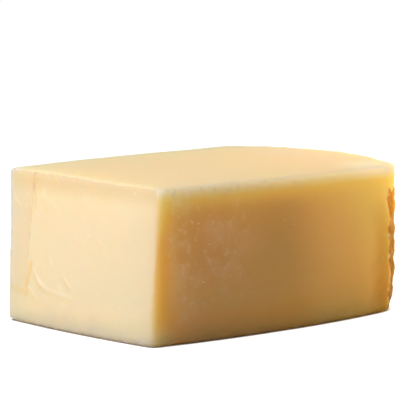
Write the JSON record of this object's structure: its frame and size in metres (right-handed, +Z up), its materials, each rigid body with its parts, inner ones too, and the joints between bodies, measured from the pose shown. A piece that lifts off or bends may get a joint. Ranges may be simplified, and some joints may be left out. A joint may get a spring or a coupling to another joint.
{
  "type": "cheddar block",
  "caption": "Block of cheddar with three cut sides, one rounded end with crumbly rind, a smooth top and a flat base, for a board, shelf or kitchen scene.",
  "frame": {"origin": "middle of the block's footprint, on the surface it stands on", "axes": "+X along the long front cut towards the rounded rind end, +Y from the front cut to the back cut, +Z up"},
  "size_m": [0.1916, 0.1188, 0.0782],
  "materials": {
    "cheddar_paste": "firm cheese paste, waxy satin and slightly translucent, pale straw on the cuts and amber at the rind"
  },
  "bodies": {
    "root": {"cheddar_block": "cheddar_paste"}
  },
  "joints": []
}
